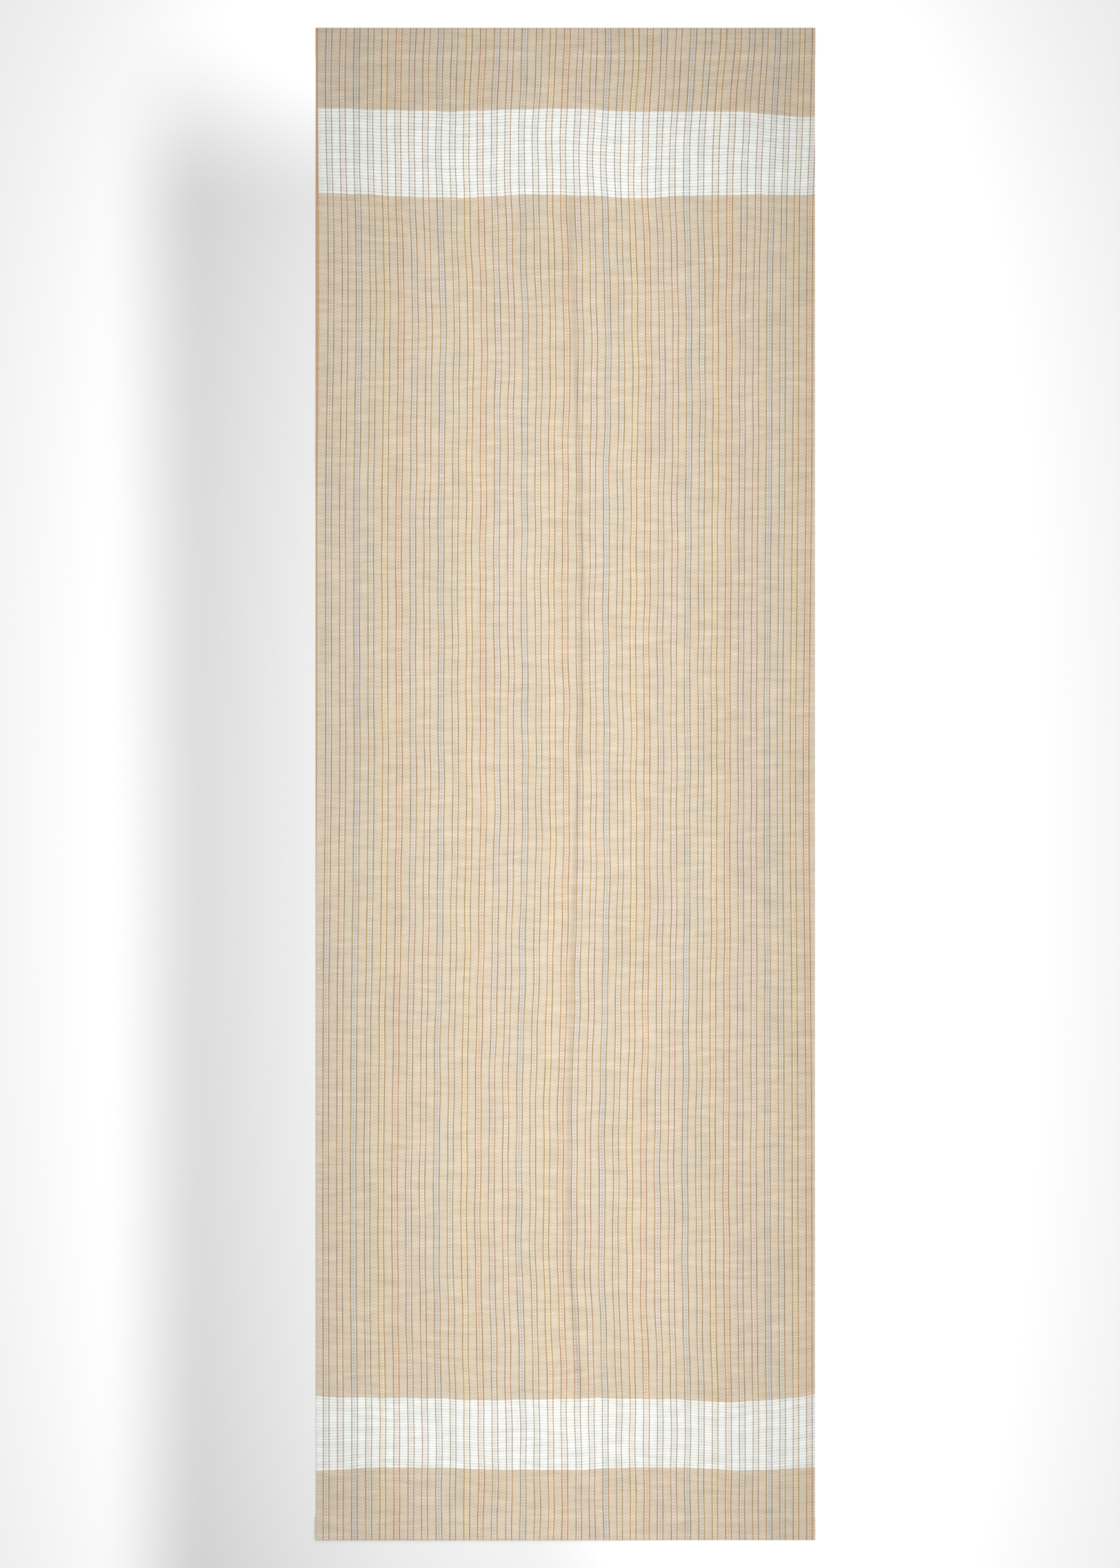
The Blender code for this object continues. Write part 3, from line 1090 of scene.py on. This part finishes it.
def cloth_material(name, groups, sizes, colours, ground, ribs, tan, sheen):
    """Woven cotton. It may hold the twill ground, the white ribs and the tan selvedge yarns.

    Each layer is mixed over the one before, by masks that follow the yarns, and adds to the
    height for the bump.
    """
    finish, shader, art = blank_material(name)
    shown = {name: opaque(getattr(colours, name)) for name in RunnerColours.__annotations__}
    u, v = weave_place(art)
    life = art.place(groups["life"], U=u, V=v)
    stripes = art.place(
        groups["stripes"],
        U=u,
        V=v,
        First_Pair=sizes.first_pair,
        Pair_Pitch=sizes.pair_pitch,
        Line_Spacing=sizes.line_spacing,
        Line_Width=sizes.line_width,
        Fleck_Pitch=sizes.fleck_pitch,
    )
    line, strip, core = stripes["Line"], stripes["Strip"], stripes["Core"]
    fleck, tint = stripes["Fleck"], stripes["Tint"]
    # Painted shade along the old crease, read from the mesh
    crease_shade = art.node("Attribute", attribute_name="crease_shade").outputs["Fac"]
    golden = art.smooth(art.noise(u, v, 130, 24, detail=2.0), 0.38, 0.62)
    tan_line = art.mix(golden, shown["line"], shown["gold"])
    height = art.times(line, -0.05)
    colour = shown["weft"]
    if ground:
        twill = art.place(
            groups["twill"], U=u, V=v, Warp_Spacing=sizes.warp_spacing, Weft_Spacing=sizes.weft_spacing
        )
        tinted = art.math("MAXIMUM", art.times(core, 0.85), art.times(strip, 0.40))
        warp = art.mix(tinted, shown["warp"], tint)
        weft = art.mix(art.times(strip, 0.30), shown["weft"], tint)
        weft = art.mix(art.times(core, 0.55), weft, tint)
        colour = art.mix(twill["Over"], weft, warp)
        # Painted shade in the hollows between the yarn floats, in patches, and deepest along the
        # crease
        hollow_shade_depth = art.add(-0.10, art.times(art.noise(u, v, 60, 110), 0.50), art.times(crease_shade, 0.75))
        hollow_shade = art.times(art.minus(0.85, twill["Height"]), hollow_shade_depth)
        colour = art.mix(hollow_shade, colour, shown["line"], "MULTIPLY")
        bright = art.times(fleck, art.add(0.30, art.times(life["Fibre"], 0.80)))
        colour = art.mix(bright, colour, shown["fleck"])
        colour = art.mix(art.times(life["Slub"], 0.55), colour, shown["fleck"])
        lined = art.times(line, art.add(0.80, art.times(twill["Over"], 0.20)))
        colour = art.mix(lined, colour, tan_line)
        raised = ((twill["Height"], 0.16), (fleck, 0.08), (life["Slub"], 0.10))
        height = art.add(height, *(art.times(mask, size) for mask, size in raised))
    if tan:
        inside = art.smooth(u, TAN_WIDTH + 0.15 * MM, TAN_WIDTH - 0.15 * MM)
        twist = art.wave(art.times(art.add(v, art.times(u, 1.4)), 1 / TAN_TWIST))
        rope = art.mix(art.smooth(twist, -2.2, 0.6), shown["line"], shown["selvedge"])
        colour = art.mix(inside, colour, rope)
        height = art.add(height, art.times(inside, twist, 0.06))
    if ribs:
        band = art.place(
            groups["ribs"],
            U=u,
            V=v,
            Head_Inner=BAND_INNER["head"],
            Head_Outer=BAND_OUTER["head"],
            Head_Ribs=float(sizes.head_ribs),
            Foot_Inner=BAND_INNER["foot"],
            Foot_Outer=BAND_OUTER["foot"],
            Foot_Ribs=float(sizes.foot_ribs),
        )
        crown, twist, ply = band["Crown"], band["Twist"], band["Ply"]
        # Painted shade: each rib darkens towards the gap colour in the slanted grooves of its twist,
        # where its relief is lowest
        shade = art.add(0.05, art.times(twist, 0.14), art.times(ply, 0.05))
        rib = art.mix(shade, shown["white"], shown["gap"])
        between = art.mix(art.times(twist, 0.8), shown["gap"], shown["white"])
        between = art.mix(art.times(strip, 0.35), between, tint)
        # The gaps between the ribs take the gap colour: the warp seen there, with painted shade of the
        # groove
        white = art.mix(art.times(band["Gap"], 0.85), rib, between)
        white = art.mix(art.add(art.times(strip, 0.08), art.times(core, 0.22)), white, tint)
        # Painted shade along the crease across the band, deeper in the gaps than on the crowns
        band_crease_shade = art.times(crease_shade, art.add(0.55, art.times(crown, -0.35)))
        white = art.mix(band_crease_shade, white, shown["gap"])
        white = art.mix(art.times(line, 0.45), white, tan_line)
        dots = art.times(line, art.smooth(crown, 1.0, 0.70), 0.75)
        white = art.mix(dots, white, shown["dot"])
        share = band["Band"]
        if tan:
            beyond = art.smooth(u, TAN_WIDTH - 0.4 * MM, TAN_WIDTH + 0.4 * MM)
            share = art.times(share, beyond)
        colour = art.mix(share, colour, white)
        relief = art.add(0.16, art.times(twist, -0.06), art.times(ply, 0.018))
        height = art.add(height, art.times(share, crown, relief))
    art.feed(shader.inputs["Base Color"], art.tone(colour, life["Tone"]))
    art.feed(shader.inputs["Roughness"], art.add(0.80, art.times(life["Fibre"], 0.16)))
    height = art.add(height, art.times(life["Fibre"], 0.05))
    bump = art.node("Bump", {"Strength": 0.7, "Distance": MM, "Height": height})
    art.feed(shader.inputs["Normal"], bump.outputs["Normal"])
    shader.inputs["Sheen Weight"].default_value = sheen
    shader.inputs["Sheen Roughness"].default_value = 0.5
    return finish


def thread_material(colours, sizes):
    """Two-ply cotton thread: a twist that runs round the tube, with painted shade that leaves it
    lighter on its backs.
    """
    finish, shader, art = blank_material("Hem Thread")
    along, around = weave_place(art)
    twist = art.wave(art.times(art.add(along, around), 1 / (2 * sizes.thread)))
    fibre = art.noise(along, around, 5000, 9000, detail=2.0)
    # Painted shade: darker in the grooves of the twist and lighter on its backs, where the bump stands
    # up
    shade = art.add(0.80, art.times(art.smooth(twist, -1.0, 0.6), 0.22), art.times(fibre, 0.08))
    art.feed(shader.inputs["Base Color"], art.tone(opaque(colours.thread), shade))
    art.feed(shader.inputs["Roughness"], art.add(0.62, art.times(fibre, 0.2)))
    bump = art.node("Bump", {"Strength": 0.6, "Distance": MM, "Height": art.times(twist, 0.05)})
    art.feed(shader.inputs["Normal"], bump.outputs["Normal"])
    shader.inputs["Sheen Weight"].default_value = 0.1
    return finish


def floor_material(colours):
    """Smooth pale paper with a little light of its own, so that it stays near white.

    A soft grey shadow is painted along the runner's left side and fades out beyond both its ends.
    """
    finish, shader, art = blank_material("Pale Paper")
    place = art.node("TexCoord").outputs["Object"]
    split = art.node("SeparateXYZ", {"Vector": place})
    x, y = split.outputs["X"], split.outputs["Y"]
    # Painted shadow: the paper's colour and its own light are dimmed beside the runner's left side
    beside = art.times(art.smooth(x, -0.47, -0.35), art.smooth(x, 0.22, -0.05))
    shadow = art.times(beside, art.smooth(y, 0.77, 0.56), art.smooth(y, -1.1, -0.8))
    grain = art.node("TexNoise", {"Vector": place, "Scale": 900.0, "Detail": 2.0}).outputs[0]
    shade = art.add(0.99, art.times(grain, 0.02), art.times(shadow, -0.17))
    art.feed(shader.inputs["Base Color"], art.tone(opaque(colours.floor), shade))
    shader.inputs["Roughness"].default_value = 0.9
    shader.inputs["Emission Color"].default_value = opaque(FULL_WHITE)
    art.feed(shader.inputs["Emission Strength"], art.add(0.4, art.times(shadow, -0.30)))
    return finish


def runner_materials():
    """The runner's finishes, made on first use and then shared."""
    if "Striped Twill" not in bpy.data.materials:
        sizes, colours = bpy.context.scene.runner_sizes, bpy.context.scene.runner_colours
        groups = {
            "stripes": warp_stripes_group(colours),
            "twill": twill_weave_group(),
            "ribs": white_ribs_group(),
            "life": yarn_life_group(),
        }
        for name, ground, ribs, tan, sheen in (
            ("Striped Twill", True, False, False, 0.10),
            ("White Band", False, True, False, 0.16),
            ("Tan Selvedge", True, True, True, 0.08),
            ("Plain Selvedge", True, True, False, 0.10),
        ):
            cloth_material(name, groups, sizes, colours, ground, ribs, tan, sheen)
        thread_material(colours, sizes)
    return bpy.data.materials


# ---------------------------------------------------------------- operators


def bend_at(thing):
    """Bakes a piece's place into its mesh."""
    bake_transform(thing)


# The three long pieces: where each starts and stops, its fold, and the CAD pieces it covers
LONG_SPANS = {
    "head": (JOIN, BAND_INNER["head"], "head_fold", ("head_quarter",)),
    "middle": (-JOIN, JOIN, "middle_fold", ("head_middle", "foot_middle")),
    "foot": (-BAND_INNER["foot"], -JOIN, "foot_fold", ("foot_quarter",)),
}


class RUNNER_OT_striped_cloth(bpy.types.Operator):
    """Weaves the striped cloth in three lengths, each spanning one of the runner's folds"""

    bl_idname = "runner.striped_cloth"
    bl_label = "Striped Cloth"

    def execute(self, context):
        sizes, finishes = context.scene.runner_sizes, runner_materials()
        for part, (start, stop, joint, covered) in LONG_SPANS.items():
            name = f"striped_cloth_{part}"
            mesh = flat_cloth(name, long_rows(start, stop, joint), sizes)
            thing = piece(name, mesh, finishes["Striped Twill"])
            bend_at(thing)
            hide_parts(*(f"{body}_cloth" for body in covered))
        return {"FINISHED"}


class RUNNER_OT_white_bands(bpy.types.Operator):
    """Weaves the ribbed white band near each end"""

    bl_idname = "runner.white_bands"
    bl_label = "White Bands"

    def execute(self, context):
        sizes, finishes = context.scene.runner_sizes, runner_materials()
        for end in SIDE:
            name = f"ribbed_band_{end}"
            mesh = flat_cloth(name, band_rows(end, sizes), sizes)
            thing = piece(name, mesh, finishes["White Band"])
            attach(thing, f"{end}_quarter")
            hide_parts(f"{end}_white_band")
        return {"FINISHED"}


class RUNNER_OT_ends_and_hems(bpy.types.Operator):
    """Weaves the plain cloth beyond each band and turns its hem"""

    bl_idname = "runner.ends_and_hems"
    bl_label = "Ends and Hems"

    def execute(self, context):
        sizes, finishes = context.scene.runner_sizes, runner_materials()
        for end in SIDE:
            name = f"striped_end_{end}"
            mesh = flat_cloth(name, end_rows(end), sizes)
            thing = piece(name, mesh, finishes["Striped Twill"])
            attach(thing, f"{end}_quarter")
            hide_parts(f"{end}_end_cloth")
            name = f"turned_hem_{end}"
            hem = piece(name, hem_mesh(name, end, sizes), finishes["Tan Selvedge"])
            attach(hem, f"{end}_quarter")
            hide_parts(f"{end}_hem")
        return {"FINISHED"}


class RUNNER_OT_selvedges(bpy.types.Operator):
    """Weaves the tan left edge and the plain right edge, in three lengths each"""

    bl_idname = "runner.selvedges"
    bl_label = "Selvedges"

    def execute(self, context):
        sizes, finishes = context.scene.runner_sizes, runner_materials()
        shapes = {
            "left": (left_selvedge, "Tan Selvedge", "tan_selvedge"),
            "right": (right_selvedge, "Plain Selvedge", "oatmeal_cloth"),
        }
        for part, (start, stop, joint, covered) in LONG_SPANS.items():
            rows = long_rows(start, stop, joint)
            if part in SIDE:
                rows = merged(rows, band_rows(part, sizes), end_rows(part))
            for edge, (shape, finish, slot) in shapes.items():
                name = f"{edge}_selvedge_{part}"
                thing = piece(name, shape(name, rows, sizes), finishes[finish])
                bend_at(thing)
                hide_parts(*(f"{body}_{edge}_selvedge" for body in covered))
        return {"FINISHED"}


class RUNNER_OT_hem_stitches(bpy.types.Operator):
    """Sews each hem with a needle thread on the face and a bobbin thread underneath"""

    bl_idname = "runner.hem_stitches"
    bl_label = "Hem Stitches"

    def execute(self, context):
        sizes, finishes = context.scene.runner_sizes, runner_materials()
        for end in SIDE:
            for kind in ("needle", "bobbin"):
                name = f"lockstitch_{kind}_{end}"
                mesh = thread_mesh(name, end, kind == "bobbin", sizes)
                thread = piece(name, mesh, finishes["Hem Thread"])
                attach(thread, f"{end}_quarter")
                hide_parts(f"{end}_hem_{kind}_thread")
        return {"FINISHED"}


def area_light(name, place, size, power):
    """A rectangular light that faces straight down, and isn't seen itself."""
    lamp = bpy.data.lights.new(name, "AREA")
    lamp.shape = "RECTANGLE"
    lamp.size, lamp.size_y = size
    lamp.energy = power
    thing = bpy.data.objects.new(name, lamp)
    thing.location = place
    thing.visible_camera = False
    bpy.context.scene.collection.objects.link(thing)
    return thing


class RUNNER_OT_stage(bpy.types.Operator):
    """Lays a pale floor, hangs soft lights above it and points a camera straight down"""

    bl_idname = "runner.stage"
    bl_label = "Stage"

    def execute(self, context):
        scene = context.scene
        corners = FLOOR_REACH * np.array([[-1, -1, 0], [1, -1, 0], [1, 1, 0], [-1, 1, 0]])
        places = corners[None, :, :2] / (2 * FLOOR_REACH)
        mesh = mesh_from("floor", corners, np.array([[0, 1, 2, 3]]), {"weave": places})
        floor = bpy.data.objects.new("floor", mesh)
        mesh.materials.append(floor_material(scene.runner_colours))
        scene.collection.objects.link(floor)
        floor.location.z = -FLOOR_DROP

        area_light("softbox", SOFTBOX_PLACE, SOFTBOX_SIZE, SOFTBOX_WATTS)
        world = bpy.data.worlds.new("studio")
        world.use_nodes = True
        sky = world.node_tree.nodes["Background"]
        sky.inputs["Color"].default_value = opaque(FULL_WHITE)
        sky.inputs["Strength"].default_value = SKY_STRENGTH
        scene.world = world
        scene.view_settings.view_transform = "Standard"

        lens = bpy.data.cameras.new("camera")
        lens.lens = CAMERA_LENS
        lens.sensor_width = CAMERA_SENSOR
        camera = bpy.data.objects.new("camera", lens)
        camera.location = (CAMERA_X, 0, THICKNESS + VIEW_HEIGHT * CAMERA_LENS / CAMERA_SENSOR)
        scene.collection.objects.link(camera)
        scene.camera = camera
        return {"FINISHED"}


class RUNNER_PT_panel(bpy.types.Panel):
    """The runner's sizes and colours, and a button for each group of pieces"""

    bl_idname = "RUNNER_PT_panel"
    bl_label = "Table Runner"
    bl_space_type = "VIEW_3D"
    bl_region_type = "UI"
    bl_category = "Table Runner"

    def draw(self, context):
        layout = self.layout
        for group in (context.scene.runner_sizes, context.scene.runner_colours):
            column = layout.column(align=True)
            for name in group.__annotations__:
                column.prop(group, name)
        for operator in STEPS:
            layout.operator(operator.bl_idname)


STEPS = (
    RUNNER_OT_striped_cloth,
    RUNNER_OT_white_bands,
    RUNNER_OT_ends_and_hems,
    RUNNER_OT_selvedges,
    RUNNER_OT_hem_stitches,
    RUNNER_OT_stage,
)
CLASSES = (RunnerSizes, RunnerColours, *STEPS, RUNNER_PT_panel)


def register():
    """Adds the classes and their settings to Blender."""
    for made in CLASSES:
        bpy.utils.register_class(made)
    bpy.types.Scene.runner_sizes = bpy.props.PointerProperty(type=RunnerSizes)
    bpy.types.Scene.runner_colours = bpy.props.PointerProperty(type=RunnerColours)


def unregister():
    """Takes the classes and their settings out of Blender."""
    del bpy.types.Scene.runner_colours
    del bpy.types.Scene.runner_sizes
    for made in reversed(CLASSES):
        bpy.utils.unregister_class(made)


def main():
    """Makes the whole runner and its stage."""
    register()
    bpy.ops.runner.striped_cloth()
    bpy.ops.runner.white_bands()
    bpy.ops.runner.ends_and_hems()
    bpy.ops.runner.selvedges()
    bpy.ops.runner.hem_stitches()
    bpy.ops.runner.stage()
    bpy.context.view_layer.update()


if __name__ == "__main__":
    main()
